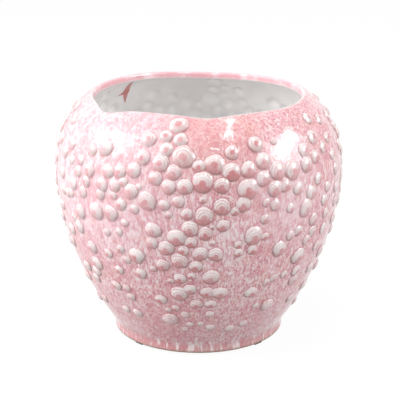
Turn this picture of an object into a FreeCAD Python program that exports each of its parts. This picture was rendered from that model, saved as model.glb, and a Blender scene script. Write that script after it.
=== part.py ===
"""A round-bellied ceramic planter with a bubbled outside, slip cast in one piece of clay and glazed.

The wall is one thickness everywhere. It rises from a low foot band, swells to a belly above half height and
closes in to a mouth that was trimmed by hand, so the rim sways in and out and is highest where it comes in.
Round bubbles stand out of the wall all the way around. Four small rubber pads are stuck under the foot ring.

The wall is turned in straight bands whose corners lie on smooth arcs, and each bubble is a dome of few sides,
which keeps a wide pot with many bubbles light. Only the larger bubbles are modelled.

Lengths are in millimetres. +Z is up, -Y is the front, and the origin is on the floor, under the middle of
the pot.
"""
import FreeCAD, Part
import math
import os

os.makedirs("parts", exist_ok=True)

Vector = FreeCAD.Vector
AXIS = Vector(0, 0, 1)

# Pot: the outside of the wall in section. Each step says how far it goes out or in, and how far up.
FOOT_RADIUS = 89.5
FOOT_BAND_TAPER = 0.7
FOOT_BAND_RISE = 9.0
FLANK_SWELL = 47.5
FLANK_RISE = 96.0
BELLY_SWELL = 10.7
BELLY_RISE = 71.0
SHOULDER_DRAW_IN = 10.4
SHOULDER_RISE = 46.0
MOUTH_DRAW_IN = 29.1
MOUTH_RISE = 31.3

# Pot: clay thickness, foot ring and floor
WALL = 8.0
FOOT_RING_WIDTH = 14.0
FOOT_RECESS_DEPTH = 3.5
FOOT_BEVEL = 1.5
FLOOR_BEVEL = 7.0

# Mouth: trimmed along a closed curve that sways out of and into a circle, and beveled outside.
# Each pair is an azimuth in degrees, to the right from the front, and a share of the sway.
MOUTH_SWAY = 7.0
RIM_RUN_ON = 11.0
RIM_BEVEL_SHARE = 0.375
MOUTH_SWAY_SHARES = (
    (90, -0.42), (112, -0.32), (145, -0.05), (178, 0.15), (212, -0.60), (246, -0.60), (276, -0.10),
    (294, 0.25), (309, 0.95), (325, 0.10), (348, 0.00), (364, 0.45), (380, 0.12), (416, 0.08),
)

# How many bands each arc is turned in: lower arcs from the belly down, upper arcs from the belly up
LOWER_BANDS = (2, 3)
UPPER_BANDS = (2, 3)
INNER_LOWER_BANDS = (2, 2)
INNER_UPPER_BANDS = (2, 2)

# Pads: cut square, with their middles under the middle of the foot ring
PAD_WIDTH = 10.0
PAD_THICKNESS = 1.5
PAD_AZIMUTHS = {"front_right": 45, "back_right": 135, "back_left": 225, "front_left": 315}

# Bubbles: the widest one, how far each one stands out and how wide its top and its root are as shares of its
# own width, and how deep the root lies as a share of the clay
BUBBLE_WIDTH = 20.0
BUBBLE_RISE_SHARE = 0.20
BUBBLE_TOP_WIDTH_SHARE = 0.55
BUBBLE_ROOT_WIDTH_SHARE = 1.45
BUBBLE_ROOT_SHARE = 0.30
BUBBLE_SIDES = 6

# Each row is an azimuth in degrees, to the right from the front, a share of the height of the mouth and a
# share of the widest bubble. The back of the pot repeats the front.
BUBBLE_SHARES = (
    (23.2, 0.897, 0.75), (53.3, 0.880, 0.72), (-39.3, 0.866, 0.80), (-5.8, 0.864, 1.00),
    (-14.4, 0.839, 0.80), (6.0, 0.839, 0.90), (37.6, 0.790, 0.90), (1.5, 0.778, 0.92),
    (18.2, 0.744, 0.95), (29.1, 0.733, 0.75), (-19.1, 0.698, 0.88), (84.0, 0.659, 1.00),
    (-84.0, 0.651, 0.90), (2.0, 0.650, 0.85), (44.8, 0.628, 0.85), (-42.1, 0.621, 0.85),
    (-8.2, 0.562, 0.85), (21.0, 0.559, 0.90), (33.4, 0.484, 0.80), (-24.9, 0.469, 0.80),
    (-7.4, 0.466, 0.80), (44.9, 0.426, 0.85), (5.0, 0.395, 0.80), (-48.2, 0.385, 0.75),
    (-8.4, 0.316, 0.85), (35.5, 0.220, 0.75), (-14.5, 0.182, 0.80),
)


def along(heading):
    """The unit vector along a heading in the section plane, in radians from straight out of the axis."""
    return Vector(math.cos(heading), 0, math.sin(heading))


def left_of(heading):
    return along(heading + math.pi / 2)


def outward(degrees):
    """The level unit vector at an azimuth, to the right from the front as someone in front sees the pot."""
    turn = math.radians(degrees)
    return Vector(math.sin(turn), -math.cos(turn), 0)


def arc_chain(points, heading):
    """Arcs through the points that run on smoothly, the first one along the heading.

    Each arc is its centre, its signed radius, and the headings at its start and at its end.
    """
    arcs = []
    for start, end in zip(points, points[1:]):
        chord = end - start
        turn = 2 * (math.atan2(chord.z, chord.x) - heading)
        radius = chord.Length / (2 * math.sin(turn / 2))
        arcs.append((start + left_of(heading) * radius, radius, heading, heading + turn))
        heading += turn
    return arcs


def band_corners(arcs, bands, inset):
    """Corners of the bands along the arcs, moved to the left of the way the arcs run by the inset."""
    corners = []
    for (centre, radius, first, last), count in zip(arcs, bands):
        steps = range(count) if centre != arcs[-1][0] else range(count + 1)
        for step in steps:
            heading = first + (last - first) * step / count
            corners.append(centre - left_of(heading) * (radius - inset))
    return corners


def run_on(corners, length):
    """The same corners with the last band made longer."""
    way = (corners[-1] - corners[-2]).normalize()
    return corners[:-1] + [corners[-1] + way * length]


def closed(points):
    return Part.makePolygon(points + points[:1])


# Wall: smooth arcs run down and up from the belly
foot_band_top = Vector(FOOT_RADIUS - FOOT_BAND_TAPER, 0, FOOT_BAND_RISE)
flank = foot_band_top + Vector(FLANK_SWELL, 0, FLANK_RISE)
belly = flank + Vector(BELLY_SWELL, 0, BELLY_RISE)
shoulder = belly + Vector(-SHOULDER_DRAW_IN, 0, SHOULDER_RISE)
mouth = shoulder + Vector(-MOUTH_DRAW_IN, 0, MOUTH_RISE)
lower_arcs = arc_chain((belly, flank, foot_band_top), -math.pi / 2)
upper_arcs = arc_chain((belly, shoulder, mouth), math.pi / 2)

# Section: the foot, the outside up to the mouth, the inside down to the floor
outside = band_corners(lower_arcs, LOWER_BANDS, 0)[::-1] + band_corners(upper_arcs, UPPER_BANDS, 0)[1:]
inside = band_corners(lower_arcs, INNER_LOWER_BANDS, -WALL)[::-1]
inside += band_corners(upper_arcs, INNER_UPPER_BANDS, WALL)[1:]
floor_corner = inside[0]
inside[0] += (inside[1] - floor_corner).normalize() * FLOOR_BEVEL
ring_inner_radius = FOOT_RADIUS - FOOT_RING_WIDTH
section = [
    Vector(0, 0, FOOT_RECESS_DEPTH),
    Vector(ring_inner_radius, 0, FOOT_RECESS_DEPTH),
    Vector(ring_inner_radius, 0, 0),
    Vector(FOOT_RADIUS - FOOT_BEVEL, 0, 0),
    Vector(FOOT_RADIUS, 0, FOOT_BEVEL),
]
section += run_on(outside, RIM_RUN_ON)
section += run_on(inside, RIM_RUN_ON)[::-1]
section += [
    Vector(floor_corner.x - FLOOR_BEVEL, 0, floor_corner.z),
    Vector(0, 0, floor_corner.z),
]
pot = Part.Face(closed(section)).revolve(Vector(), AXIS, 360)

# Mouth: a swaying curve cuts straight down through the shoulder
sway_points = []
for azimuth, share in MOUTH_SWAY_SHARES:
    radius = mouth.x + MOUTH_SWAY * share
    sway_points.append(outward(azimuth) * radius + AXIS * belly.z)
sway_curve = Part.BSplineCurve()
sway_curve.interpolate(Points=sway_points, PeriodicFlag=True)
trimming = Part.Face(Part.Wire(sway_curve.toShape())).extrude(AXIS * mouth.z)
pot = pot.cut(trimming)

# Rim: the outer edge of the cut is beveled
cut_edges = [edge for edge in pot.Edges if not isinstance(edge.Curve, (Part.Circle, Part.Line))]
crest = max(cut_edges, key=lambda edge: edge.BoundBox.ZMax)
pot = pot.makeChamfer(RIM_BEVEL_SHARE * WALL, [crest])


def wall_at(height):
    """The point of the outside at a height, and the unit vector up along its band."""
    for low, high in zip(outside, outside[1:]):
        if low.z <= height <= high.z:
            way = (high - low).normalize()
            return low + way * ((height - low.z) / way.z), way
    raise ValueError("no wall at this height")


def bubble(azimuth, height, width):
    """A dome of few sides that stands square on the wall, rooted in the clay."""
    place, way = wall_at(height)
    out = outward(azimuth)
    sideways = outward(azimuth + 90)
    upward = out * way.x + AXIS * way.z
    normal = out * way.z - AXIS * way.x
    middle = out * place.x + AXIS * place.z

    levels = (
        (BUBBLE_ROOT_WIDTH_SHARE, -BUBBLE_ROOT_SHARE * WALL),
        (BUBBLE_TOP_WIDTH_SHARE, BUBBLE_RISE_SHARE * width),
    )
    rings = []
    for width_share, rise in levels:
        corners = []
        for side in range(BUBBLE_SIDES):
            turn = 2 * math.pi * (side + 0.5) / BUBBLE_SIDES
            spoke = sideways * math.cos(turn) + upward * math.sin(turn)
            corners.append(middle + spoke * (width * width_share / 2) + normal * rise)
        rings.append(corners)

    root, top = rings
    faces = [Part.Face(closed(root)), Part.Face(closed(top))]
    for side in range(BUBBLE_SIDES):
        after = (side + 1) % BUBBLE_SIDES
        faces.append(Part.Face(closed([root[side], root[after], top[after], top[side]])))
    dome = Part.Solid(Part.Shell(faces))
    return dome if dome.Volume > 0 else dome.reversed()


# Bubbles: all are fused with the wall they are cast with
bubbles = []
for azimuth, height_share, width_share in BUBBLE_SHARES:
    for half_turn in (0, 180):
        bubbles.append(bubble(azimuth + half_turn, height_share * mouth.z, width_share * BUBBLE_WIDTH))
pot = pot.multiFuse(bubbles)
pot.translate(AXIS * PAD_THICKNESS)
pot.exportStep("parts/pot_body.step")

# Pads: one square under each quarter of the foot ring
for place, azimuth in PAD_AZIMUTHS.items():
    corner = Vector(-PAD_WIDTH / 2, -PAD_WIDTH / 2, 0)
    pad = Part.makeBox(PAD_WIDTH, PAD_WIDTH, PAD_THICKNESS, corner)
    pad.rotate(Vector(), AXIS, azimuth)
    pad.translate(outward(azimuth) * (FOOT_RADIUS - FOOT_RING_WIDTH / 2))
    pad.exportStep(f"parts/foot_pad_{place}.step")
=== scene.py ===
"""A round-bellied planter of slip-cast clay, bubbled all over, glazed pink outside and white inside.

The script follows the pot as it is made: the glazed outside with its bubbles and rim, the white inside, the
bare foot, the pads stuck under it, and then the floor, the lamps and the camera. Lengths are in metres
unless a comment says otherwise, +Z is up and -Y is the front. Azimuths are in degrees, to the right from
the front.
"""

import bpy
import numpy as np
from mathutils import Euler, Matrix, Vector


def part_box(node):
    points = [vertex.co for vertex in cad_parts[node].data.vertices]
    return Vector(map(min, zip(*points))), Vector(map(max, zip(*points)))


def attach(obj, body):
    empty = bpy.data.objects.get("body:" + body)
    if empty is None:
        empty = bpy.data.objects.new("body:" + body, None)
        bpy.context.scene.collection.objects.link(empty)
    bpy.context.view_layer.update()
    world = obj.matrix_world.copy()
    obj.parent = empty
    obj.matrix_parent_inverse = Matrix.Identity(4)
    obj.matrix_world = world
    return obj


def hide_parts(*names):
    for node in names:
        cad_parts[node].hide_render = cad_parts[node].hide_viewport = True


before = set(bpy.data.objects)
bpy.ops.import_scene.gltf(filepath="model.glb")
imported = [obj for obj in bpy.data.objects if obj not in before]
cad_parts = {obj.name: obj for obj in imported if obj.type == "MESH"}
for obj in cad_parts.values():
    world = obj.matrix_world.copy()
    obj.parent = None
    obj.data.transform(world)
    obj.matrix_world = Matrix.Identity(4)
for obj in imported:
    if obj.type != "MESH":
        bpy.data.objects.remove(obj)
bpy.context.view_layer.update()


# Outside: the pot is one casting of white clay, dipped in pink glaze down to the foot. Its mouth is trimmed
# while the clay is soft, so the rim sways. The glaze runs thin and white on top of each bubble, leaves a
# keyhole of pink below, and gathers darker around it.
FOOT_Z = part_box("pot_body")[0].z
FOOT_RADIUS = 0.0895
WALL = 0.008

# Radii of the roundings at the foot, over the rim, and under the collar
FOOT_ROUND = 0.0016
RIM_ROUND = 0.0028
RIM_UNDER_ROUND = 0.0014

# Places on the section of the wall, each out from the axis and up from the clay foot
FOOT_BAND_TOP = (0.0888, 0.009)
FLANK = (0.1363, 0.105)
BELLY_OUT, BELLY_UP = 0.147, 0.176
SHOULDER = (0.1366, 0.222)
MOUTH = (0.1075, 0.2533)

# The mouth sways out of and into a circle: azimuths, and shares of the sway
MOUTH_SWAY = 0.007
MOUTH_SWAY_SHARES = np.array([
    (90, -0.42), (112, -0.32), (145, -0.05), (178, 0.15), (212, -0.60), (246, -0.60), (276, -0.10),
    (294, 0.25), (309, 0.95), (325, 0.10), (348, 0.00), (364, 0.45), (380, 0.12), (416, 0.08),
])

# Bubbles of the front half, which the back half repeats in slightly smaller sizes: azimuth, millimetres
# above the clay foot, and millimetres of width
MILLIMETRE = 0.001
FRONT_BUBBLES = np.array([
    (-8.7, 244, 17), (-80, 240.5, 12), (57, 239, 12), (-13.4, 235, 12), (66, 235, 11), (-71, 233, 13),
    (-7.3, 232.5, 13), (80, 232, 13), (-20.5, 231.5, 14), (-84, 228, 13), (31.5, 227.5, 7),
    (23.2, 227.3, 15), (-12.6, 224, 13), (53.3, 223.7, 14), (12.9, 222, 13), (83, 221, 14),
    (-39.3, 219.5, 16), (-5.8, 219, 20), (65, 218, 11), (-88, 216, 14), (-21.8, 215.7, 14),
    (-46.4, 215, 12.5), (45.7, 215, 14), (-61.6, 213.6, 13), (-14.4, 212.6, 16), (6, 212.5, 18),
    (25.1, 212.3, 15), (-76, 212, 14), (58.7, 211.8, 12), (0.1, 210.5, 11.5), (88, 210, 15),
    (51.8, 206, 13), (18.9, 206, 15), (12.1, 205.2, 16.5), (-9.2, 205, 13.5), (-83, 205, 13),
    (-24.8, 204, 14), (-66, 203, 13), (79, 203, 12), (-52, 202.5, 10), (30.7, 201.8, 17), (45.6, 201.6, 15),
    (-30.7, 201, 13), (66, 201, 12), (37.6, 200, 18), (-36.2, 199, 13), (-58.5, 198.9, 9),
    (-16, 198.5, 12.5), (1.5, 197, 18.5), (24.4, 196.4, 14), (-45.9, 196, 14), (8.4, 193.3, 14),
    (86, 193, 13), (-5, 192.2, 14), (-78, 192, 13), (-28.7, 191.7, 9), (-11, 191.5, 13), (-52.9, 191.2, 11),
    (-22.3, 189, 6), (18.2, 188.6, 19), (-32.6, 187, 12), (34, 186.5, 12), (-38.5, 185.7, 13),
    (29.1, 185.6, 15), (68, 185, 12), (52, 184.8, 12), (-47.2, 184.6, 11), (-25.5, 184, 14), (-67, 182, 13),
    (40.1, 181, 12), (-88, 181, 13), (1.5, 180, 7), (88, 180, 14), (-7.3, 178, 11), (-33, 177.2, 8),
    (-56, 177, 13), (-19.1, 176.7, 17.5), (-39.4, 175.6, 11), (-12.6, 174, 10), (16.3, 174, 14),
    (8.5, 173.4, 15.5), (25.5, 173, 8), (47.5, 173, 14), (-49.4, 172.7, 12), (59.2, 172, 11),
    (-29.7, 169.7, 11), (29.4, 169.5, 11), (13.3, 168, 8), (-24.2, 167, 9), (84, 167, 20), (-58, 166.8, 10),
    (-4.3, 166.3, 11), (-65.5, 165.5, 11), (-10.9, 165, 7), (69, 165, 12), (-84, 165, 18),
    (-61.4, 164.7, 10), (2, 164.6, 17), (36.5, 163, 9), (57, 160, 11), (-34.6, 159, 15), (44.8, 159, 17),
    (-42.1, 157.3, 17), (25, 157, 9), (8.9, 154.6, 12), (5, 153, 5), (-3.2, 152, 15), (84, 152, 12),
    (-28.6, 151.6, 8), (-52, 151, 15), (70, 150, 12), (-86, 150, 13), (-17, 148.4, 15), (2.4, 147, 13),
    (-70, 146, 12), (80, 145, 12), (59.7, 144.6, 11), (50.4, 144, 13), (-8.2, 142.5, 17), (21, 141.6, 18),
    (-58, 141, 10), (-31.5, 141, 8), (25.8, 139, 8), (-37.5, 137.9, 8), (-2.9, 137.6, 11), (5.1, 137, 6),
    (42, 137, 11), (-17.7, 135, 11.5), (87, 135, 13), (15, 134, 8), (38, 134, 10), (-54.7, 133.5, 14),
    (-88, 133, 12), (51.3, 130.9, 12), (-12.4, 130.8, 15), (-76, 130, 13), (72, 130, 13), (-5.8, 129, 10.5),
    (60, 128, 12), (20.9, 126.6, 10), (0.5, 126, 14.5), (-63, 125, 13), (15.5, 125, 9), (6.5, 124.8, 14),
    (48.1, 123.6, 11), (33.4, 122.7, 16), (-32, 122.5, 9), (85, 120, 12), (-24.9, 118.7, 16),
    (-7.4, 118, 16), (-48.5, 115.2, 14), (-86, 115, 12), (-38.7, 114.6, 10), (-30, 112, 9),
    (-1.2, 112, 12.5), (80, 112, 12), (-14.2, 111.8, 13), (58, 110, 12), (44.9, 108, 17), (-68, 108, 13),
    (-18.5, 106.5, 7), (-2.9, 101, 8), (5, 100, 16), (-80, 100, 12), (-24.4, 99, 12), (-35, 98, 10),
    (66, 98, 13), (-7.6, 97.7, 12), (-48.2, 97.6, 15), (-11.5, 94, 7), (86, 92, 12), (47, 90.5, 13),
    (39.6, 90, 9), (34, 89, 10), (-59, 87, 13), (-51, 86.8, 12), (30.5, 86, 8), (-3.6, 85.4, 12),
    (60, 84, 12), (-88, 82, 12), (3.5, 81.5, 13), (9.1, 80.5, 15), (-8.4, 80, 17), (47.9, 78.6, 13),
    (-54, 77, 11), (-40, 77, 12), (-34, 77, 9), (23.8, 77, 13), (74, 76, 12), (-17.2, 70.5, 12),
    (-66, 70, 12), (5.5, 67, 11), (-33, 67, 10), (-1.2, 67, 12), (84, 66, 11), (-78, 62, 11),
    (-10.9, 61, 8), (64, 60, 11), (28.5, 58, 7), (-14.5, 58, 7), (35.5, 55.7, 15), (5.3, 54, 9),
    (-6.6, 53, 9), (54, 52, 12), (82, 50, 10), (-85, 50, 10), (-58, 48, 10), (-40.2, 47.6, 9.5),
    (-32.8, 46.6, 11), (-14.5, 46, 16), (0.9, 41.3, 7), (-4.8, 40, 7.5), (-72, 40, 10), (24.7, 36.6, 9),
    (6.1, 36, 9), (70, 36, 9), (-7.5, 33, 7), (17, 32.2, 10),
])
BACK_SIZE_LOSS = 0.12

# Form of a bubble: its width against the table's, how far it stands out as a share of its width, the radius
# that it stays within, the two powers of its rounding, and how far two and three waves bend its outline
CLAY_GAIN = 1.08
BUBBLE_RISE_SHARE = 0.19
BUBBLE_REACH_OUT = 0.1493
BUBBLE_ROUNDNESS = (2.1, 0.76)
BUBBLE_WAVES = (0.03, 0.03)

# Hand-made lumps of the wall: waves around, radians to the metre upward, and phase
LUMP_HEIGHT = 0.00004
LUMP_WAVES = ((17, 90, 0.4), (-23, 150, 1.7), (31, -210, 2.9), (43, 260, 4.1))

# Bubbles and lumps fade out over this run, towards the crest of the rim and towards the foot band
RELIEF_FADE = 0.005

# Columns around, of which the pieces other than the outside take every other one, and rows up the section
COLUMNS = 1024
BAND_ROWS, WALL_ROWS, CREST_ROWS, COLLAR_ROWS, UNDER_ROWS = 7, 326, 9, 6, 6

# The crease above the foot band is eased over these rows to each side of it, by as many passes
CREASE_ROWS, CREASE_PASSES = 5, 14

# Steps in which the wall's section is looked up
LOOKUP_STEPS = 4000

turns = np.linspace(0, 360, COLUMNS, endpoint=False)


def smooth_arcs(points):
    """Arcs through the points, each one tangent to the last, and the first one upright at its start.

    Each row is an arc's centre out and up, its radius, its heading at the start, and the run before it. An
    arc turns by twice the angle between its heading and its chord.
    """
    rows, heading, run = [], np.pi / 2, 0.0
    for (out_a, up_a), (out_b, up_b) in zip(points, points[1:]):
        turn = 2 * (np.arctan2(up_b - up_a, out_b - out_a) - heading)
        radius = np.hypot(out_b - out_a, up_b - up_a) / (2 * np.sin(turn / 2))
        centre = out_a - radius * np.sin(heading), up_a + radius * np.cos(heading)
        rows.append((*centre, radius, heading, run))
        run += radius * turn
        heading += turn
    return np.array(rows), run


UPPER_ARCS, upper_run = smooth_arcs(
    [(BELLY_OUT, 0), (SHOULDER[0], SHOULDER[1] - BELLY_UP), (MOUTH[0], MOUTH[1] - BELLY_UP)]
)
LOWER_ARCS, lower_run = smooth_arcs(
    [(BELLY_OUT, 0), (FLANK[0], BELLY_UP - FLANK[1]), (FOOT_BAND_TOP[0], BELLY_UP - FOOT_BAND_TOP[1])]
)


def wall(run):
    """The outside of the wall at a run along its section from the belly, upwards positive.

    A place on an arc is its centre plus its radius along the way that the wall faces there, and that way
    turns evenly along the arc. Returns the place out and up, and the way out and up.
    """
    halves = []
    for arcs, side in ((UPPER_ARCS, 1), (LOWER_ARCS, -1)):
        reach = np.maximum(side * run, 0)
        out, up, radius, heading, before = np.moveaxis(
            arcs[np.searchsorted(arcs[:, 4], reach, side="right") - 1], -1, 0
        )
        heading = heading + (reach - before) / radius
        faces_out, faces_up = np.sin(heading), -np.cos(heading)
        halves.append((
            out + radius * faces_out,
            BELLY_UP + side * (up + radius * faces_up),
            faces_out,
            side * faces_up,
        ))
    return [np.where(run >= 0, above, below) for above, below in zip(*halves)]


def closed_curve(azimuth, knots):
    """A smooth closed curve through knots of azimuth and value.

    Between two knots it is a cubic that has, at each knot, the slope of the values around that knot.
    """
    at = np.concatenate([knots[-2:, 0] - 360, knots[:, 0], knots[:3, 0] + 360])
    value = np.concatenate([knots[-2:, 1], knots[:, 1], knots[:3, 1]])
    slope = np.gradient(value, at)
    azimuth = (azimuth - knots[0, 0]) % 360 + knots[0, 0]
    k = np.searchsorted(at, azimuth, side="right") - 1
    gap = at[k + 1] - at[k]
    t = (azimuth - at[k]) / gap
    return (value[k] * (1 - t) ** 2 * (1 + 2 * t) + slope[k] * gap * t * (1 - t) ** 2
            + value[k + 1] * t**2 * (3 - 2 * t) - slope[k + 1] * gap * t**2 * (1 - t))


def span(start, end, rows, last=False):
    """Rows of values in even steps from start to end, with the end row only if asked.

    Where start or end differs from turn to turn, each turn is a column.
    """
    share = np.linspace(0, 1, rows, endpoint=last)[:, None]
    return start + (end - start) * share


# Mouth in section, at each turn: the crest is a small circle inside the wall's last arc, and below the
# collar another small circle runs into the inner face of the wall. Two circles touch where their centres
# and the place are in line.
mouth_out = MOUTH[0] + MOUTH_SWAY * closed_curve(turns, MOUTH_SWAY_SHARES)
arc_out, arc_up, arc_radius, arc_heading, arc_run = UPPER_ARCS[-1]
arc_up = arc_up + BELLY_UP
crest_out = mouth_out + RIM_ROUND
crest_up = arc_up + np.sqrt((arc_radius - RIM_ROUND) ** 2 - (crest_out - arc_out) ** 2)
crest_from = np.arctan2(crest_up - arc_up, crest_out - arc_out)
crest_run = arc_run + (crest_from + np.pi / 2 - arc_heading) * arc_radius
under_out = mouth_out + RIM_UNDER_ROUND
under_up = arc_up + np.sqrt((arc_radius - WALL + RIM_UNDER_ROUND) ** 2 - (under_out - arc_out) ** 2)
under_to = np.arctan2(arc_up - under_up, arc_out - under_out) + 2 * np.pi
lining_run = arc_run + (under_to - np.pi / 2 - arc_heading) * arc_radius

# Section of the outside, from the foot up, over the crest and down the collar. Each part is its places out
# and up, and the ways that they face.
band = span(0.0, 1.0, BAND_ROWS) * np.ones(COLUMNS)
band_rows = (
    FOOT_RADIUS + (FOOT_BAND_TOP[0] - FOOT_RADIUS) * band,
    FOOT_ROUND + (FOOT_BAND_TOP[1] - FOOT_ROUND) * band,
    np.ones_like(band),
    np.zeros_like(band),
)
wall_rows = wall(span(-lower_run, crest_run, WALL_ROWS))
crest_turn = span(crest_from, np.pi, CREST_ROWS)
crest_rows = (
    crest_out + RIM_ROUND * np.cos(crest_turn),
    crest_up + RIM_ROUND * np.sin(crest_turn),
    np.cos(crest_turn),
    np.sin(crest_turn),
)
collar = span(crest_up, under_up, COLLAR_ROWS)
collar_rows = (mouth_out + 0 * collar, collar, -np.ones_like(collar), np.zeros_like(collar))
under_turn = span(np.pi, under_to, UNDER_ROWS, last=True)
under_rows = (
    under_out + RIM_UNDER_ROUND * np.cos(under_turn),
    under_up + RIM_UNDER_ROUND * np.sin(under_turn),
    np.cos(under_turn),
    np.sin(under_turn),
)
parts_up = (band_rows, wall_rows, crest_rows, collar_rows, under_rows)
out, up, faces_out, faces_up = [np.vstack(rows) for rows in zip(*parts_up)]
crease = np.arange(BAND_ROWS - CREASE_ROWS, BAND_ROWS + CREASE_ROWS + 1)
for _ in range(CREASE_PASSES):
    for section in (out, up):
        section[crease] = (section[crease - 1] + 2 * section[crease] + section[crease + 1]) / 4

# Run of every place along the section, counted from the belly as the wall's is
steps = np.hypot(np.diff(out, axis=0), np.diff(up, axis=0))
run = np.vstack([np.zeros(COLUMNS), np.cumsum(steps, axis=0)])
run = run - run[BAND_ROWS] - lower_run


def varied(middle, sway, wave, count):
    """A value for each bubble: the middle one, plus the sway times a sine that hardly repeats."""
    return middle + sway * np.sin(wave * np.arange(count))


# Every bubble: its azimuth, its run along the wall, its radius out from the axis, and half its width. At
# the sides, a back bubble that would touch a front one is left out.
back_bubbles = FRONT_BUBBLES + (180, 0, 0)
back_bubbles[:, 2] *= 1 - BACK_SIZE_LOSS * varied(0.5, 0.5, 7.3, len(back_bubbles))
turn_apart = (back_bubbles[:, None, 0] - FRONT_BUBBLES[:, 0] + 180) % 360 - 180
side_apart = np.radians(turn_apart) * BELLY_OUT / MILLIMETRE
apart = np.hypot(side_apart, back_bubbles[:, None, 1] - FRONT_BUBBLES[:, 1])
touching = apart < (back_bubbles[:, None, 2] + FRONT_BUBBLES[:, 2]) / 2
bubbles = np.vstack([FRONT_BUBBLES, back_bubbles[~touching.any(axis=1)]])
lookup_run = np.linspace(-lower_run, upper_run, LOOKUP_STEPS)
lookup_out, lookup_up = wall(lookup_run)[:2]
bubble_azimuth = bubbles[:, 0]
bubble_run = np.interp(bubbles[:, 1] * MILLIMETRE, lookup_up, lookup_run)
bubble_out = np.interp(bubble_run, lookup_run, lookup_out)
bubble_half = CLAY_GAIN * bubbles[:, 2] * MILLIMETRE / 2
bubble_rise = np.minimum(BUBBLE_RISE_SHARE, (BUBBLE_REACH_OUT - bubble_out) / (2 * bubble_half))


def beside_bubble(azimuth, which):
    """How far an azimuth is to the right of a bubble, counted in its half widths."""
    turn = (azimuth - bubble_azimuth[which] + 180) % 360 - 180
    return np.radians(turn) * bubble_out[which] / bubble_half[which]


def from_bubble(azimuth, run, which):
    """How far a place is to the right of a bubble and above it along the wall, counted in its half widths.

    These widths vary around it in two and in three waves, as no bubble is quite round. The waves start
    elsewhere on each bubble.
    """
    right = beside_bubble(azimuth, which)
    above = (run - bubble_run[which]) / bubble_half[which]
    side = np.arctan2(above, right)
    two_waves = BUBBLE_WAVES[0] * np.sin(2 * side + 3.1 * which)
    three_waves = BUBBLE_WAVES[1] * np.sin(3 * side + 1.7 * which)
    width = 1 + two_waves + three_waves
    return right / width, above / width


def near_columns(azimuth, which, reach):
    """The columns that come within a reach of a bubble, counted in its half widths."""
    return np.flatnonzero(np.abs(beside_bubble(azimuth, which)) < reach * (1 + sum(BUBBLE_WAVES)))


def bubble_relief(azimuth, run, rise, spread, flatness, steepness):
    """How far the bubbles stand out: the highest of them at each place.

    A bubble is its rise, as a share of its width, times (1 - d^flatness)^steepness. There d is the distance
    from its middle in half widths, divided by the spread.
    """
    relief = np.zeros(run.shape)
    for which in range(len(bubbles)):
        near = near_columns(azimuth, which, spread)
        distance = np.hypot(*from_bubble(azimuth[near], run[:, near], which)) / spread
        height = np.clip(1 - distance**flatness, 0, None) ** steepness
        relief[:, near] = np.maximum(relief[:, near], 2 * bubble_half[which] * rise[which] * height)
    return relief


relief = bubble_relief(turns, run, bubble_rise, 1.0, *BUBBLE_ROUNDNESS)
for around, upward, phase in LUMP_WAVES:
    relief += LUMP_HEIGHT * np.sin(np.radians(around * turns) + upward * run + phase)
fade = np.clip((crest_run - run) / RELIEF_FADE, 0, 1) * np.clip((run + lower_run) / RELIEF_FADE, 0, 1)
relief *= fade


def places_at(azimuth, out, up):
    """Places from rows of out and up: out along the azimuth of each column, and up along the axis."""
    turn = np.radians(azimuth)
    return np.stack([out * np.sin(turn), -out * np.cos(turn), FOOT_Z + up], axis=-1)


def grid_faces(rows, columns):
    """Faces between neighbours in a grid of places. They look to the right of the way the rows run."""
    here = np.arange(rows * columns).reshape(rows, columns)
    return np.stack([here[:-1, :-1], here[:-1, 1:], here[1:, 1:], here[1:, :-1]], axis=-1).reshape(-1, 4)


def add_piece(name, places, faces):
    """A smooth-shaded piece at the origin, with its places and faces in its own mesh."""
    mesh = bpy.data.meshes.new(name)
    mesh.from_pydata(places.reshape(-1, 3).tolist(), [], faces)
    mesh.shade_smooth()
    piece = bpy.data.objects.new(name, mesh)
    bpy.context.scene.collection.objects.link(piece)
    return piece


# The outside is one coat, made in four quarters that share their edges and the way these face, so that it
# shows no seam. The way a place faces is square to its two neighbours along the row and to those up and
# down.
QUARTERS = ("glazed_front_right", "glazed_back_right", "glazed_back_left", "glazed_front_left")
outside = places_at(turns, out + relief * faces_out, up + relief * faces_up)
along_row = np.roll(outside, -1, axis=1) - np.roll(outside, 1, axis=1)
along_column = np.gradient(outside, axis=0)
ways = np.cross(along_row, along_column)
ways /= np.linalg.norm(ways, axis=-1, keepdims=True)
quarters = {}
for first, name in enumerate(QUARTERS):
    columns = np.arange(first * COLUMNS // 4, (first + 1) * COLUMNS // 4 + 1) % COLUMNS
    part = outside[:, columns]
    piece = add_piece(name, part, grid_faces(*part.shape[:2]).tolist())
    piece.data.normals_split_custom_set_from_vertices(ways[:, columns].reshape(-1, 3))
    quarters[piece] = columns

# Pattern of the glaze on a bubble, in degrees: its tilt at the front, what it leans back for each degree of
# azimuth, so that it turns with the light falling on the pot, the limits of both, and its sway among the
# bubbles. Its painted light and shade turn with it.
PATTERN_TILT = 14
PATTERN_LEAN = 0.9
PATTERN_TILT_LIMITS = (-45, 50)
PATTERN_SWAY = 12

# How far a bubble's pattern reaches, and where on it a face is put that no bubble reaches, in half widths
PATTERN_REACH = 1.6
PATTERN_AWAY = 5.0

# Bubbles below the first of these heights in millimetres have no keyhole. On those below the second, it is
# open down to the bubble's edge, and on those above the third it is closed.
PLAIN_BELOW = 60
KEYHOLE_OPEN, KEYHOLE_CLOSED = 206, 226

# How white a bubble is, and how clear its keyhole and its rings are: the middle share and its sway
WHITENESS = (0.92, 0.08)
KEYHOLE_CLEARNESS = (0.88, 0.12)
RING_CLEARNESS = (0.5, 0.5)

# How white a bubble without a keyhole is
PLAIN_WHITENESS = 0.82

# Side of each bubble on which its painted shade lies: how far to the right it is at the front, in half
# widths, the degrees of azimuth in which it moves left by one half width, and how far it goes at most
SHADE_SIDE = 0.30
SHADE_TURN = 32
SHADE_LIMIT = 0.92

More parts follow.
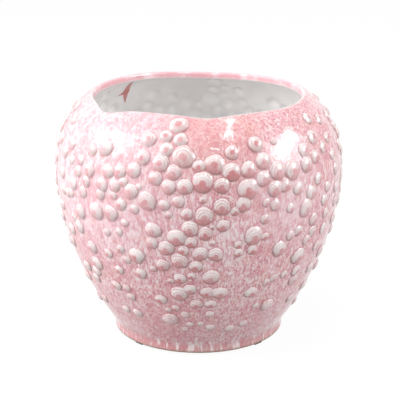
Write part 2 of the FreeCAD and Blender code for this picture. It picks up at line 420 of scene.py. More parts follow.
# Each face takes its place on the pattern from the bubble that it is nearest to, so that no pattern is
# smeared across two of them
face_azimuth = turns + 180 / COLUMNS
run_beside = np.roll(run, -1, axis=1)
face_run = (run[:-1] + run[1:] + run_beside[:-1] + run_beside[1:]) / 4
nearest = np.zeros(face_run.shape, int)
nearest_distance = np.full(face_run.shape, PATTERN_REACH)
for which in range(len(bubbles)):
    near = near_columns(face_azimuth, which, PATTERN_REACH)
    distance = np.hypot(*from_bubble(face_azimuth[near], face_run[:, near], which))
    closer = distance < nearest_distance[:, near]
    nearest[:, near] = np.where(closer, which, nearest[:, near])
    nearest_distance[:, near] = np.minimum(distance, nearest_distance[:, near])
corner_azimuth = np.stack([turns, turns + 360 / COLUMNS, turns + 360 / COLUMNS, turns], axis=-1)
corner_run = np.stack([run[:-1], run_beside[:-1], run_beside[1:], run[1:]], axis=-1)
right, above = from_bubble(corner_azimuth, corner_run, nearest[..., None])


def leaned(right, above, tilt):
    """A place on a bubble, turned by the bubble's tilt."""
    return [right * np.cos(tilt) - above * np.sin(tilt), right * np.sin(tilt) + above * np.cos(tilt)]


facing = (bubble_azimuth + 90) % 180 - 90
tilt = np.clip(PATTERN_TILT - PATTERN_LEAN * facing, *PATTERN_TILT_LIMITS)
tilt = np.radians(varied(tilt, PATTERN_SWAY, 5.1, len(bubbles)))
pattern = np.stack(leaned(right, above, tilt[nearest][..., None]), axis=-1)
pattern[nearest_distance >= PATTERN_REACH] = PATTERN_AWAY

# Nature of each bubble: how white it is, how clear its keyhole is and how far that opens down to its edge
plain = bubbles[:, 1] < PLAIN_BELOW
white_share = np.where(plain, PLAIN_WHITENESS, varied(*WHITENESS, 3.7, len(bubbles)))
keyhole_share = np.where(plain, 0.0, varied(*KEYHOLE_CLEARNESS, 2.9, len(bubbles)))
open_share = np.clip((KEYHOLE_CLOSED - bubbles[:, 1]) / (KEYHOLE_CLOSED - KEYHOLE_OPEN), 0, 1)
bubble_nature = np.stack([white_share, keyhole_share, open_share], axis=-1)

# Each bubble's painted shade and rings: the way to its painted shade, and how clear its rings are
sideways = np.clip(SHADE_SIDE - facing / SHADE_TURN, -SHADE_LIMIT, SHADE_LIMIT)
shade_way = leaned(sideways, -np.sqrt(1 - sideways**2), tilt)
bubble_shade_and_rings = np.stack([*shade_way, varied(*RING_CLEARNESS, 1.9, len(bubbles))], axis=-1)

# Worn thin over the edges: how far the glaze has broken to white, row by row up the foot, over the crest
# and under the collar. On the collar, which is trimmed smooth, it lies even.
FOOT_WORN = (0.9, 0.4)
CREST_WORN = (0.35, 0.8, 1.0, 0.7, 0.25)
UNDER_WORN = (0.15, 0.9, 1.0, 1.0, 1.0, 1.0, 1.0)
COLLAR_EVEN = (0.3, 0.6, 0.9)
EVEN_AFTER = 3
crest_from_row = BAND_ROWS + WALL_ROWS + 1
even_from_row = crest_from_row + EVEN_AFTER
worn_rows = np.zeros(len(out))
worn_rows[:len(FOOT_WORN)] = FOOT_WORN
worn_rows[crest_from_row:crest_from_row + len(CREST_WORN)] = CREST_WORN
worn_rows[-len(UNDER_WORN):] = UNDER_WORN
even_rows = np.zeros(len(out))
even_rows[even_from_row:] = 1.0
even_rows[even_from_row:even_from_row + len(COLLAR_EVEN)] = COLLAR_EVEN

for piece, columns in quarters.items():
    faces = columns[:-1]
    piece.data.uv_layers.new(name="bubble").data.foreach_set("uv", pattern[:, faces].ravel())
    for name, values in (("nature", bubble_nature), ("shade_and_rings", bubble_shade_and_rings)):
        layer = piece.data.attributes.new(name, "FLOAT_VECTOR", "FACE")
        layer.data.foreach_set("vector", values[nearest[:, faces]].ravel())
    for name, rows in (("worn", worn_rows), ("even", even_rows)):
        layer = piece.data.attributes.new(name, "FLOAT", "POINT")
        layer.data.foreach_set("value", np.repeat(rows, len(columns)))


def paint(red, green, blue):
    """A colour written as it looks on a screen, from 0 to 255, as the linear light that a shader takes."""
    light = []
    for value in (red, green, blue):
        value = value / 255
        light.append(value / 12.92 if value <= 0.04045 else ((value + 0.055) / 1.055) ** 2.4)
    return (*light, 1.0)


def node_maker(tree):
    """A maker of nodes in a tree. It takes a kind, its inputs by name or by number, and its settings."""

    def add(kind, inputs=None, **settings):
        node = tree.nodes.new("ShaderNode" + kind)
        for key, value in settings.items():
            setattr(node, key, value)
        for socket, value in (inputs or {}).items():
            if isinstance(value, bpy.types.NodeSocket):
                tree.links.new(value, node.inputs[socket])
            else:
                node.inputs[socket].default_value = value
        return node

    return add


def new_finish(name):
    """A new material, and the maker of its nodes."""
    finish = bpy.data.materials.new(name)
    finish.use_nodes = True
    return finish, node_maker(finish.node_tree)


def dress(finish, colour, bump, roughness):
    """Give a finish its colour, its bump and its roughness. Returns its shader."""
    shader = finish.node_tree.nodes["Principled BSDF"]
    finish.node_tree.links.new(colour, shader.inputs["Base Color"])
    finish.node_tree.links.new(bump.outputs[0], shader.inputs["Normal"])
    shader.inputs["Roughness"].default_value = roughness
    return shader


def carried(add, name, output="Fac"):
    """A value that the mesh carries."""
    return add("Attribute", attribute_name=name).outputs[output]


def blend(add, share, low, high):
    """The colour that goes from low to high as the share goes from 0 to 1."""
    mix = add("Mix", {0: share, 6: low, 7: high}, data_type="RGBA")
    return mix.outputs[2]


def ramp(add, value, start, end, low=0.0, high=1.0):
    """A smooth step of the value: low up to the start, high past the end."""
    step = add("MapRange", {0: value, 1: start, 2: end, 3: low, 4: high}, interpolation_type="SMOOTHSTEP")
    return step.outputs[0]


def work_out(add, operation, first, second=0.0, third=0.0):
    """One step of arithmetic on numbers."""
    return add("Math", {0: first, 1: second, 2: third}, operation=operation).outputs[0]


def times(add, first, second):
    """Two shares multiplied."""
    return work_out(add, "MULTIPLY", first, second)


def less(add, share, lost):
    """A share, less the part of it that is lost: the share times 1 - lost."""
    return times(add, share, work_out(add, "SUBTRACT", 1.0, lost))


def move(add, operation, first, second=(0.0, 0.0, 0.0)):
    """One step of arithmetic on places that gives a place."""
    return add("VectorMath", {0: first, 1: second}, operation=operation).outputs["Vector"]


def scaled(add, place, size):
    """A place multiplied by a number."""
    return add("VectorMath", {0: place, "Scale": size}, operation="SCALE").outputs["Vector"]


def measure(add, operation, first, second=(0.0, 0.0, 0.0)):
    """One step of arithmetic on places that gives a number."""
    return add("VectorMath", {0: first, 1: second}, operation=operation).outputs["Value"]


def noise(add, place, scale, detail=2.0, stretch=(1, 1, 1), output="Fac"):
    """Noise of a number of waves to the metre, on the place with each axis stretched by its share."""
    seat = add("Mapping", {"Vector": place, "Scale": stretch}).outputs[0]
    return add("TexNoise", {"Vector": seat, "Scale": scale, "Detail": detail}).outputs[output]


def stroke(add, place, start, end, start_width, end_width):
    """A brush stroke on the surface: full along the line from start to end, gone past half its width.

    The nearest place on the line is at the share (place - start) . (end - start) / length squared, kept
    from 0 to 1, and the stroke is as wide there as that share says.
    """
    way = np.array(end) - np.array(start)
    from_start = move(add, "SUBTRACT", place, start)
    along = measure(add, "DOT_PRODUCT", from_start, tuple(way / way.dot(way)))
    along = add("Clamp", {0: along}).outputs[0]
    gap = measure(add, "DISTANCE", from_start, scaled(add, tuple(way), along))
    width = add("MapRange", {0: along, 3: start_width, 4: end_width}).outputs[0]
    return ramp(add, work_out(add, "DIVIDE", gap, width), 0.62, 0.38)


# Colours of the glaze between the bubbles: its body, then what lies on it from the bottom up
ROSE = paint(227, 160, 169)
LIGHT_ROSE = paint(235, 180, 187)
STREAK_ROSE = paint(206, 133, 143)
SALMON = paint(229, 166, 155)
LIGHT_GRAIN = paint(244, 208, 209)
DARK_GRAIN = paint(194, 124, 128)
FLECK_WHITE = paint(248, 233, 234)
VEIN_AND_GLINT_WHITE = paint(247, 234, 234)
# Painted sheen over the body of the glaze
SHEEN_ROSE = paint(243, 208, 215)
LIGHT_PATCH = paint(249, 228, 232)
DARK_PATCH = paint(214, 142, 150)
FLUSHED_ROSE = paint(222, 156, 154)
LOW_ROSE = paint(204, 118, 125)
# Collar colours, lightened as painted light on a face that lies in shade
COLLAR_ROSE, COLLAR_LIGHT = paint(236, 180, 187), paint(250, 220, 225)

# Colours of the glaze on a bubble
CORE_ROSE = paint(203, 122, 125)
OUTLINE_ROSE = paint(172, 112, 119)
SHADED_CREAM, CREAM = paint(200, 187, 184), paint(243, 238, 236)
CREAM_GRAIN = paint(230, 196, 198)
RING_BROWN = paint(176, 134, 132)
LOW_EDGE = paint(204, 146, 143)
# Painted shade, on the side of each bubble away from the light
SHADE_BROWN = paint(160, 118, 113)
# Painted sheen over the bubbles
SHEEN_WASH_ROSE = paint(248, 218, 224)

# Colours of the white runs, of the foot band and the streaks drawn down to it, and of edges worn thin. At
# the foot, the worn colour is darkened by a painted contact shadow.
RUN_WHITE = paint(248, 244, 241)
BAND_ROSE = paint(198, 140, 142)
DRAWN_WHITE = paint(246, 234, 233)
WORN_FOOT_AND_SHADOW, WORN_RIM = paint(178, 142, 128), paint(228, 220, 220)

# Ways from the middle of the pot: to its front left and up, where a painted sheen makes the glaze pale, to
# the right shoulder, where the painted sheen is less, and to the front of the lip, where it is flushed
POT_MIDDLE = (0.0, 0.0, 0.13)
SHEEN_SIDE = (-0.60, -0.68, 0.42)
RIGHT_SHOULDER = (0.56, -0.76, 0.33)
FRONT_LIP = (0.08, -0.74, 0.67)

# Way on a bubble towards the light: its white is painted lit on that side and painted shaded on the other
LIT_WAY = (-0.45, 0.89, 0.0)

# Rings around a core: where each starts, is darkest and ends, in half widths of the bubble, and how dark it
# is on the bubbles with the faintest and with the clearest rings
RINGS = ((0.50, 0.59, 0.68, 0.05, 0.85), (0.80, 0.88, 0.96, 0.20, 0.95))

# White runs: strokes with the place and the width at each end
WHITE_RUNS = (
    ((0.0190, -0.1460, 0.1847), (0.0242, -0.1452, 0.1852), 0.0009, 0.0013),
    ((0.0242, -0.1452, 0.1852), (0.0290, -0.1444, 0.1837), 0.0013, 0.0013),
    ((0.0290, -0.1444, 0.1837), (0.0335, -0.1436, 0.1804), 0.0013, 0.0009),
    ((0.0229, -0.1414, 0.1321), (0.0304, -0.1401, 0.1331), 0.0009, 0.0012),
    ((0.0304, -0.1401, 0.1331), (0.0390, -0.1367, 0.1271), 0.0012, 0.0009),
    ((0.0108, -0.1344, 0.2276), (0.0134, -0.1343, 0.2268), 0.0012, 0.0018),
    ((0.0156, -0.1343, 0.2270), (0.0192, -0.1341, 0.2260), 0.0018, 0.0012),
)
GLAZE_IOR = 1.55

# Place on the bubble, in its half widths, shaken a little so that no edge is a clean curve
pink_glaze, add = new_finish("pink_glaze")
place = add("TexCoord").outputs["Object"]
bubble = add("UVMap", uv_map="bubble").outputs[0]
shake = move(add, "SUBTRACT", noise(add, place, 260.0, output="Color"), (0.5, 0.5, 0.5))
seat = move(add, "ADD", bubble, scaled(add, shake, 0.24))
seat = move(add, "MULTIPLY", seat, (1, 1, 0))
across, above = add("SeparateXYZ", {0: seat}).outputs[:2]
distance = measure(add, "LENGTH", seat)
whiteness, keyhole, opening = add("SeparateXYZ", {0: carried(add, "nature", "Vector")}).outputs
shade_and_rings = carried(add, "shade_and_rings", "Vector")
clearness = add("SeparateXYZ", {0: shade_and_rings}).outputs[2]

# Keyhole: a pink core, in the middle on the shoulder, and on the bubbles below it lower and spread down to
# the edge
core_middle = add("CombineXYZ", {1: work_out(add, "MULTIPLY_ADD", opening, -0.14, -0.05)}).outputs[0]
core_reach = work_out(add, "MULTIPLY_ADD", opening, 0.01, 0.36)
from_core = measure(add, "DISTANCE", seat, core_middle)
core = ramp(add, work_out(add, "SUBTRACT", from_core, core_reach), 0.13, -0.13)
spread_reach = ramp(add, above, 0.0, -0.8, 0.30, 0.92)
spread = work_out(add, "SUBTRACT", work_out(add, "ABSOLUTE", across), spread_reach)
spread = times(add, ramp(add, spread, 0.18, -0.12), ramp(add, above, -0.05, -0.38))
spread = times(add, spread, times(add, opening, ramp(add, distance, 1.12, 0.94)))
hole = times(add, work_out(add, "MAXIMUM", core, spread), keyhole)

# White of the bubble: a disc, less its lowest part, its keyhole and thin rings around the core
disc = ramp(add, distance, 0.98, 0.84)
low_white = work_out(add, "MULTIPLY_ADD", opening, -0.90, 1.0)
white = times(add, disc, ramp(add, above, -0.70, 0.02, low_white, 1.0))
white = less(add, white, hole)
lines = 0.0
for start, middle, end, faint, clear in RINGS:
    line = times(add, ramp(add, from_core, start, middle), ramp(add, from_core, end, middle))
    line = times(add, line, ramp(add, clearness, 0.0, 1.0, faint, clear))
    white = less(add, white, line)
    lines = work_out(add, "MAXIMUM", line, lines)
white = times(add, white, whiteness)

# Outline around the bubble, darker foot of an open keyhole, and painted shade on one side
outline = times(add, ramp(add, distance, 0.90, 1.0), ramp(add, distance, 1.14, 1.02))
low_part = times(add, ramp(add, above, -0.35, -0.90, 0.0, 0.60), ramp(add, distance, 1.08, 0.90))
low_part = times(add, low_part, opening)
toward_shade = measure(add, "DOT_PRODUCT", seat, shade_and_rings)
painted_shade = times(add, ramp(add, distance, 0.78, 0.96), ramp(add, distance, 1.22, 1.04))
painted_shade = times(add, painted_shade, ramp(add, toward_shade, 0.40, 1.0, 0.0, 0.50))

# Where on the pot a painted sheen makes the glaze paler, and where it is flushed
height = add("SeparateXYZ", {0: place}).outputs[2]
from_middle = move(add, "NORMALIZE", move(add, "SUBTRACT", place, POT_MIDDLE))
painted_sheen = ramp(add, measure(add, "DOT_PRODUCT", from_middle, SHEEN_SIDE), 0.70, 0.99)
lesser_sheen = ramp(add, measure(add, "DOT_PRODUCT", from_middle, RIGHT_SHOULDER), 0.90, 1.0, 0.0, 0.80)
painted_sheen = work_out(add, "MAXIMUM", painted_sheen, lesser_sheen)
flush = ramp(add, measure(add, "DOT_PRODUCT", from_middle, FRONT_LIP), 0.93, 0.99, 0.0, 0.40)

# Body of the glaze: clouds, fine upright streaks, blushes, grain, flecks of white that are thicker in
# drifts, thin white veins that are partly painted glints, patches that are lighter, more so under the
# painted sheen, and that sheen. It is deeper low down, and even on the collar, whose colours are lightened
# as painted light.
cloud = noise(add, place, 24.0, 4.0)
streak = noise(add, place, 300.0, 3.0, (1, 1, 0.3))
blush = noise(add, place, 75.0, 3.0)
grain = noise(add, place, 560.0)
drift = noise(add, place, 11.0)
fleck = work_out(add, "SUBTRACT", noise(add, place, 480.0, 2.0, (1, 1, 0.28)), 0.175)
fleck = work_out(add, "MULTIPLY_ADD", drift, 0.35, fleck)
# Thin white veins in the glaze, partly painted glints
vein_and_glint = work_out(add, "SUBTRACT", noise(add, place, 150.0, 2.0, (1, 1, 0.6)), 0.5)
vein_and_glint = ramp(add, work_out(add, "ABSOLUTE", vein_and_glint), 0.020, 0.005)
vein_and_glint = times(add, vein_and_glint, ramp(add, cloud, 0.42, 0.56, 0.15, 0.85))
patch = noise(add, place, 165.0, 2.5, (1, 1, 0.75))
light_patch = times(add, ramp(add, patch, 0.49, 0.62), work_out(add, "MULTIPLY_ADD", painted_sheen, 0.34, 0.17))
pink = blend(add, ramp(add, cloud, 0.3, 0.7), ROSE, LIGHT_ROSE)
pink = blend(add, ramp(add, streak, 0.38, 0.66), pink, STREAK_ROSE)
pink = blend(add, ramp(add, blush, 0.52, 0.68, 0.0, 0.5), pink, SALMON)
pink = blend(add, ramp(add, grain, 0.50, 0.66, 0.0, 0.55), pink, LIGHT_GRAIN)
pink = blend(add, ramp(add, grain, 0.47, 0.34, 0.0, 0.60), pink, DARK_GRAIN)
pink = blend(add, ramp(add, fleck, 0.51, 0.63, 0.0, 0.78), pink, FLECK_WHITE)
pink = blend(add, vein_and_glint, pink, VEIN_AND_GLINT_WHITE)
pink = blend(add, times(add, painted_sheen, 0.34), pink, SHEEN_ROSE)
pink = blend(add, light_patch, pink, LIGHT_PATCH)
pink = blend(add, ramp(add, patch, 0.49, 0.38, 0.0, 0.26), pink, DARK_PATCH)
pink = blend(add, flush, pink, FLUSHED_ROSE)
pink = blend(add, ramp(add, height, 0.110, 0.030, 0.0, 0.24), pink, LOW_ROSE)
# The collar's colours are lightened as painted light
collar_pink = blend(add, ramp(add, blush, 0.40, 0.70), COLLAR_ROSE, COLLAR_LIGHT)
pink = blend(add, carried(add, "even"), pink, collar_pink)

# Bubbles on the body: cores and outlines, both fainter under the painted sheen, then the white with its
# painted light and shade, the rings, the low part, the painted shade, and the painted sheen over all
core_tint = times(add, hole, work_out(add, "MULTIPLY_ADD", painted_sheen, -0.45, 0.92))
pink = blend(add, core_tint, pink, CORE_ROSE)
outline = times(add, outline, work_out(add, "MULTIPLY_ADD", painted_sheen, -0.42, 0.60))
pink = blend(add, outline, pink, OUTLINE_ROSE)
lit = measure(add, "DOT_PRODUCT", seat, LIT_WAY)
cream = blend(add, ramp(add, lit, -0.7, 0.8), SHADED_CREAM, CREAM)
cream = blend(add, ramp(add, grain, 0.46, 0.62, 0.0, 0.50), cream, CREAM_GRAIN)
coat = blend(add, white, pink, cream)
lines = times(add, times(add, lines, disc), ramp(add, above, -0.45, 0.10, 0.0, 0.42))
coat = blend(add, lines, coat, RING_BROWN)
coat = blend(add, low_part, coat, LOW_EDGE)
coat = blend(add, painted_shade, coat, SHADE_BROWN)
coat = blend(add, times(add, painted_sheen, 0.12), coat, SHEEN_WASH_ROSE)

# White runs, the foot band with the streaks drawn down to it, and the edges worn thin
for start, end, start_width, end_width in WHITE_RUNS:
    run_white = stroke(add, place, start, end, start_width, end_width)
    coat = blend(add, times(add, run_white, 0.85), coat, RUN_WHITE)
coat = blend(add, ramp(add, height, 0.0125, 0.0090, 0.0, 0.50), coat, BAND_ROSE)
drawn = ramp(add, noise(add, place, 230.0, 2.0, (1, 1, 0.20)), 0.54, 0.61)
drawn = times(add, drawn, ramp(add, blush, 0.40, 0.54, 0.1, 1.0))
drawn = times(add, drawn, ramp(add, height, 0.045, 0.009, 0.0, 0.80))
coat = blend(add, drawn, coat, DRAWN_WHITE)
worn = times(add, carried(add, "worn"), ramp(add, grain, 0.3, 0.6, 0.45, 1.0))
# At the foot the worn colour is bare clay, darkened by a painted contact shadow
worn_colour = blend(add, ramp(add, height, 0.004, 0.012), WORN_FOOT_AND_SHADOW, WORN_RIM)
coat = blend(add, worn, coat, worn_colour)

glaze_bump = add("Bump", {"Strength": 0.6, "Distance": 0.00025, "Height": noise(add, place, 360.0)})
shader = dress(pink_glaze, coat, glaze_bump, 0.10)
shader.inputs["IOR"].default_value = GLAZE_IOR
for piece in quarters:
    piece.data.materials.append(pink_glaze)
    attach(piece, "root")
    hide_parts("pot_body")


# Inside: the same casting, poured full of white glaze and emptied. The slip followed the mould, so a soft
# hollow lies behind each bubble. One drip of pink has run over the rim at the back.
LINING_ROWS, CORNER_ROWS, FLOOR_ROWS = 150, 10, 12
INNER_STEPS = 2000

# Height of the floor above the clay foot, and how far its rounded corner reaches up the wall and inward
FLOOR_UP = 0.01365
FLOOR_CORNER = 0.012

# Hollows: their width against the bubble's, their depth as a share of the bubble's width, and the two powers
# of their rounding
HOLLOW_SPREAD = 1.45
HOLLOW_DEPTH_SHARE = 0.20
HOLLOW_ROUNDNESS = (2.0, 2.3)

# The lining comes down from the rim to where the inner face of the wall nears the floor
every_other_turn = turns[::2]
rim_run = lining_run[::2]
inner_run = np.linspace(-lower_run, 0, INNER_STEPS)
inner_out, inner_up, inner_faces_out, inner_faces_up = wall(inner_run)
inner_out = inner_out - WALL * inner_faces_out
inner_up = inner_up - WALL * inner_faces_up
floor_run = np.interp(FLOOR_UP, inner_up, inner_run)
floor_radius = np.interp(FLOOR_UP, inner_up, inner_out)
lining = span(rim_run, floor_run + FLOOR_CORNER, LINING_ROWS, last=True)
lining_out, lining_up, lining_faces_out, lining_faces_up = wall(lining)
hollow_rise = np.full(len(bubbles), HOLLOW_DEPTH_SHARE)
depth = bubble_relief(every_other_turn, lining, hollow_rise, HOLLOW_SPREAD, *HOLLOW_ROUNDNESS)
depth *= np.clip((rim_run - lining) / RELIEF_FADE, 0, 1)
lining_out = lining_out - (WALL - depth) * lining_faces_out
lining_up = lining_up - (WALL - depth) * lining_faces_up

# Its corner with the floor is a curve drawn by three places: the foot of the lining, where the inner face
# of the wall would meet the floor, and a place on the floor. At a share t of the way, their parts in it are
# (1 - t)^2, 2 t (1 - t) and t^2.
t = np.linspace(0, 1, CORNER_ROWS + 1)[1:, None]
corner_end = floor_radius - FLOOR_CORNER
corner_out = lining_out[-1] * (1 - t) ** 2 + floor_radius * 2 * t * (1 - t) + corner_end * t**2
corner_up = lining_up[-1] * (1 - t) ** 2 + FLOOR_UP * (1 - (1 - t) ** 2)
floor_out = corner_end * np.linspace(1, 0, FLOOR_ROWS + 1)[1:-1, None] * np.ones(len(every_other_turn))
inside_out = np.vstack([lining_out, corner_out, floor_out])
inside_up = np.vstack([lining_up, corner_up, np.full_like(floor_out, FLOOR_UP)])


def closed_skin(name, out, up, first_pole=None, last_pole=None):
    """A turned surface on every other column, closed around and at its poles on the axis."""
    rows, columns = out.shape
    faces = grid_faces(rows, columns + 1)
    faces = (faces // (columns + 1) * columns + faces % (columns + 1) % columns).tolist()
    places = places_at(every_other_turn, out, up).reshape(-1, 3)
    here = np.arange(rows * columns).reshape(rows, columns)
    beside = np.roll(here, -1, axis=1)
    for pole, ring in ((first_pole, (beside[0], here[0])), (last_pole, (here[-1], beside[-1]))):
        if pole is not None:
            places = np.vstack([places, (0, 0, FOOT_Z + pole)])
            faces += np.stack([*ring, np.full(columns, len(places) - 1)], axis=-1).tolist()
    return add_piece(name, places, faces)


inside = closed_skin("glazed_inside", inside_out, inside_up, last_pole=FLOOR_UP)
hollow_share = np.zeros(len(inside.data.vertices))
hollow_share[:depth.size] = (depth / depth.max()).ravel()
inside.data.attributes.new("hollow", "FLOAT", "POINT").data.foreach_set("value", hollow_share)

CLEAN_WHITE, LIGHT_WHITE = paint(238, 236, 235), paint(245, 243, 242)
PAINTED_HOLLOW_LIGHT = paint(252, 251, 250)
SPECK_GREY = paint(205, 196, 194)
DRIP_PINK = paint(200, 120, 116)

# Drip: strokes with the place and the width at each end
DRIP = (
    ((-0.0735, 0.0785, 0.2450), (-0.0800, 0.0905, 0.2335), 0.0048, 0.0084),
    ((-0.0800, 0.0905, 0.2335), (-0.0872, 0.0875, 0.2296), 0.0078, 0.0020),
    ((-0.0800, 0.0905, 0.2335), (-0.0818, 0.1004, 0.2198), 0.0086, 0.0016),
)

white_glaze, add = new_finish("white_glaze")
place = add("TexCoord").outputs["Object"]
cloud = noise(add, place, 40.0, 3.0)
speck = noise(add, place, 500.0)
white = blend(add, ramp(add, cloud, 0.3, 0.7), CLEAN_WHITE, LIGHT_WHITE)
# Painted light on the hollows
white = blend(add, ramp(add, carried(add, "hollow"), 0.05, 0.80), white, PAINTED_HOLLOW_LIGHT)
white = blend(add, ramp(add, speck, 0.68, 0.74, 0.0, 0.3), white, SPECK_GREY)
for start, end, start_width, end_width in DRIP:
    run_down = stroke(add, place, start, end, start_width, end_width)
    white = blend(add, times(add, run_down, 0.92), white, DRIP_PINK)
inside_bump = add("Bump", {"Strength": 0.2, "Distance": 0.0008, "Height": noise(add, place, 120.0)})
shader = dress(white_glaze, white, inside_bump, 0.12)
shader.inputs["IOR"].default_value = GLAZE_IOR
inside.data.materials.append(white_glaze)
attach(inside, "root")
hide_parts("pot_body")


# Underside: the same casting, wiped bare so that it does not stick to the kiln shelf. Its foot is a ring
# around a shallow recess.
RING_WIDTH = 0.014
RING_ROUND = 0.001
RECESS = 0.0035
RECESS_STEPS, FOOT_STEPS = 8, 6

# Colours of the clay. Near its edge it is darkened by a painted shadow, between these distances in from the
# edge.
CLAY, LIGHT_CLAY = paint(196, 172, 144), paint(212, 192, 166)
CLAY_GRIT = paint(176, 150, 122)
CLAY_SHADOW = paint(146, 112, 100)
SHADOW_START, SHADOW_FULL = 0.0025, 0.0008

ring_in = FOOT_RADIUS - RING_WIDTH
recess_out = np.linspace(0, ring_in - RING_ROUND, RECESS_STEPS + 1)[1:]
recess_out = np.concatenate([recess_out, [ring_in, ring_in, ring_in + RING_ROUND]])
recess_up = np.concatenate([np.full(RECESS_STEPS, RECESS), [RECESS - RING_ROUND, RING_ROUND, 0.0]])
foot_turn = np.linspace(0, np.pi / 2, FOOT_STEPS + 1)
foot_out = np.concatenate([recess_out, FOOT_RADIUS - FOOT_ROUND * (1 - np.sin(foot_turn))])
foot_up = np.concatenate([recess_up, FOOT_ROUND * (1 - np.cos(foot_turn))])
foot_out = foot_out[:, None] * np.ones(len(every_other_turn))
foot_up = foot_up[:, None] * np.ones(len(every_other_turn))
underside = closed_skin("bare_underside", foot_out, foot_up, first_pole=RECESS)

bare_clay, add = new_finish("bare_clay")
place = add("TexCoord").outputs["Object"]
cloud = noise(add, place, 60.0, 3.0)
grit = noise(add, place, 900.0, 3.0)
from_axis = measure(add, "LENGTH", move(add, "MULTIPLY", place, (1, 1, 0)))
foot_shadow = ramp(add, from_axis, FOOT_RADIUS - SHADOW_START, FOOT_RADIUS - SHADOW_FULL, 0.0, 0.75)
clay = blend(add, ramp(add, cloud, 0.3, 0.7), CLAY, LIGHT_CLAY)
clay = blend(add, ramp(add, grit, 0.58, 0.70, 0.0, 0.4), clay, CLAY_GRIT)
clay = blend(add, foot_shadow, clay, CLAY_SHADOW)
clay_bump = add("Bump", {"Strength": 0.4, "Distance": 0.0004, "Height": grit})
dress(bare_clay, clay, clay_bump, 0.8)
underside.data.materials.append(bare_clay)
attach(underside, "root")
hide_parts("pot_body")


# Pads: four squares cut from a sheet of dark rubber and stuck under the foot ring, so that the clay doesn't
# scratch the floor. Their shapes are those of the solids.
RUBBER, LIGHT_RUBBER = paint(52, 52, 54), paint(66, 66, 68)
pad_rubber, add = new_finish("pad_rubber")
grain = noise(add, add("TexCoord").outputs["Object"], 1500.0)
rubber = blend(add, ramp(add, grain, 0.3, 0.7), RUBBER, LIGHT_RUBBER)
pad_bump = add("Bump", {"Strength": 0.4, "Distance": 0.0003, "Height": grain})
dress(pad_rubber, rubber, pad_bump, 0.75)
for name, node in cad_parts.items():
    if name.startswith("foot_pad"):
        node.data.materials.clear()
        node.data.materials.append(pad_rubber)


# Floor and room: a plain pale floor, which the camera sees as white, and a white room around it. Both light
# the pot less than they show.
FLOOR_HALF = 12.0
FLOOR_GREY = paint(165, 165, 165)
FLOOR_GLOW_SHARE = 0.80
FLOOR_GLOW = 1.16
ROOM_LIGHT = 0.76


def seen(add):
    """1 for what the camera sees, straight or by way of gloss or glass, and 0 for light on the pot."""
    rays = add("LightPath").outputs
    straight_or_gloss = work_out(add, "MAXIMUM", rays["Is Camera Ray"], rays["Is Glossy Ray"])
    return work_out(add, "MAXIMUM", straight_or_gloss, rays["Is Transmission Ray"])


floor_mesh = bpy.data.meshes.new("floor")
floor_corners = [(-1, -1, 0), (1, -1, 0), (1, 1, 0), (-1, 1, 0)]
floor_mesh.from_pydata((np.array(floor_corners) * FLOOR_HALF).tolist(), [], [(0, 1, 2, 3)])
floor = bpy.data.objects.new("floor", floor_mesh)
bpy.context.scene.collection.objects.link(floor)
pale_floor, add = new_finish("pale_floor")
matt = add("BsdfDiffuse", {"Color": FLOOR_GREY}).outputs[0]
glow = add("Emission", {"Color": (1, 1, 1, 1), "Strength": FLOOR_GLOW}).outputs[0]
both = add("MixShader", {0: times(add, seen(add), FLOOR_GLOW_SHARE), 1: matt, 2: glow}).outputs[0]
tree = pale_floor.node_tree
tree.links.new(both, tree.nodes["Material Output"].inputs["Surface"])
floor_mesh.materials.append(pale_floor)

room = bpy.data.worlds.new("white_room")
bpy.context.scene.world = room
room.use_nodes = True
add = node_maker(room.node_tree)
strength = add("MapRange", {0: seen(add), 3: ROOM_LIGHT, 4: 1.0}).outputs[0]
background = room.node_tree.nodes["Background"]
room.node_tree.links.new(strength, background.inputs["Strength"])
background.inputs["Color"].default_value = (1, 1, 1, 1)


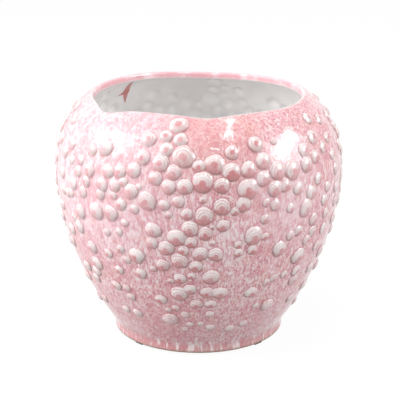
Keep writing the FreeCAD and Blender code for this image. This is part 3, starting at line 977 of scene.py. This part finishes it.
# Lamps: large soft boxes, each aimed at the middle of the pot from an azimuth and an elevation.
def soft_box(name, azimuth, elevation, distance, width, height, power, roll=0.0, shown="both"):
    """A lamp of a width and height, on a sphere around the pot, that looks at its middle.

    It shows in the gloss of the glaze, on matt surfaces, or on both.
    """
    turn, lift = np.radians(azimuth), np.radians(elevation)
    light = bpy.data.lights.new(name, "AREA")
    light.shape = "RECTANGLE"
    light.size, light.size_y, light.energy = width, height, power
    lamp = bpy.data.objects.new(name, light)
    lamp.location = (
        POT_MIDDLE[0] + distance * np.cos(lift) * np.sin(turn),
        POT_MIDDLE[1] - distance * np.cos(lift) * np.cos(turn),
        POT_MIDDLE[2] + distance * np.sin(lift),
    )
    aim = Euler((np.pi / 2 - lift, 0, turn)).to_matrix() @ Matrix.Rotation(np.radians(roll), 3, "Z")
    lamp.rotation_euler = aim.to_euler()
    lamp.visible_camera = False
    lamp.visible_diffuse = shown != "gloss"
    lamp.visible_glossy = shown != "matt"
    bpy.context.scene.collection.objects.link(lamp)


# Each lamp's azimuth, elevation, distance, width, height and power
soft_box("left_box", -85, 26, 1.8, 1.7, 1.3, 27, shown="matt")
soft_box("front_box", -35, 42, 2.2, 1.6, 1.6, 6)
soft_box("right_box", 78, 24, 2.0, 1.3, 1.1, 15)
soft_box("top_box", 0, 88, 1.6, 0.8, 0.8, 5, shown="matt")
soft_box("left_sheet", -81, 30, 1.5, 0.95, 0.70, 11, roll=30, shown="gloss")
soft_box("window", 79, 27, 1.5, 0.80, 0.33, 10, roll=24, shown="gloss")
soft_box("strip", 50, 67, 1.5, 0.09, 0.90, 5, roll=-40, shown="gloss")


# Camera: a long lens in front of the pot, looking a little down on it.
LENS = 105.12
LENS_SHIFT = 0.0035
CAMERA_PLACE = (0.0, -1.174, 0.4965)
LOOK_DOWN = 17.05
eye = bpy.data.cameras.new("camera")
eye.lens = LENS
eye.shift_x = LENS_SHIFT
camera = bpy.data.objects.new("camera", eye)
camera.location = CAMERA_PLACE
camera.rotation_euler = (np.radians(90 - LOOK_DOWN), 0, 0)
bpy.context.scene.collection.objects.link(camera)
bpy.context.scene.camera = camera
bpy.context.scene.view_settings.view_transform = "Standard"
